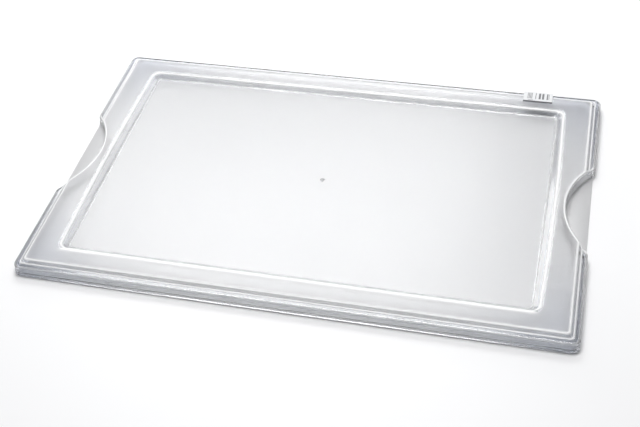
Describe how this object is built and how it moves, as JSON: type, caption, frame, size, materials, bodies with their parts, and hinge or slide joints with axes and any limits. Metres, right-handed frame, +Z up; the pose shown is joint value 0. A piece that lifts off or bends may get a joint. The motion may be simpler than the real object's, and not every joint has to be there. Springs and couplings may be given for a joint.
{
  "type": "food box lid",
  "caption": "Clear rectangular lid for a full-size food storage box, with a recessed middle, a stepped rim and a crescent hand grip in each short end.",
  "frame": {"origin": "middle of the foot of the skirt, on the surface that the lid lies on", "axes": "+X along the long sides, +Y towards the side with the label, +Z up"},
  "size_m": [0.66, 0.457, 0.0192],
  "materials": {
    "clear_plastic": "gloss",
    "label_paper": "matte"
  },
  "bodies": {
    "root": {"lid_body": "clear_plastic", "barcode_label": "label_paper"}
  },
  "joints": []
}
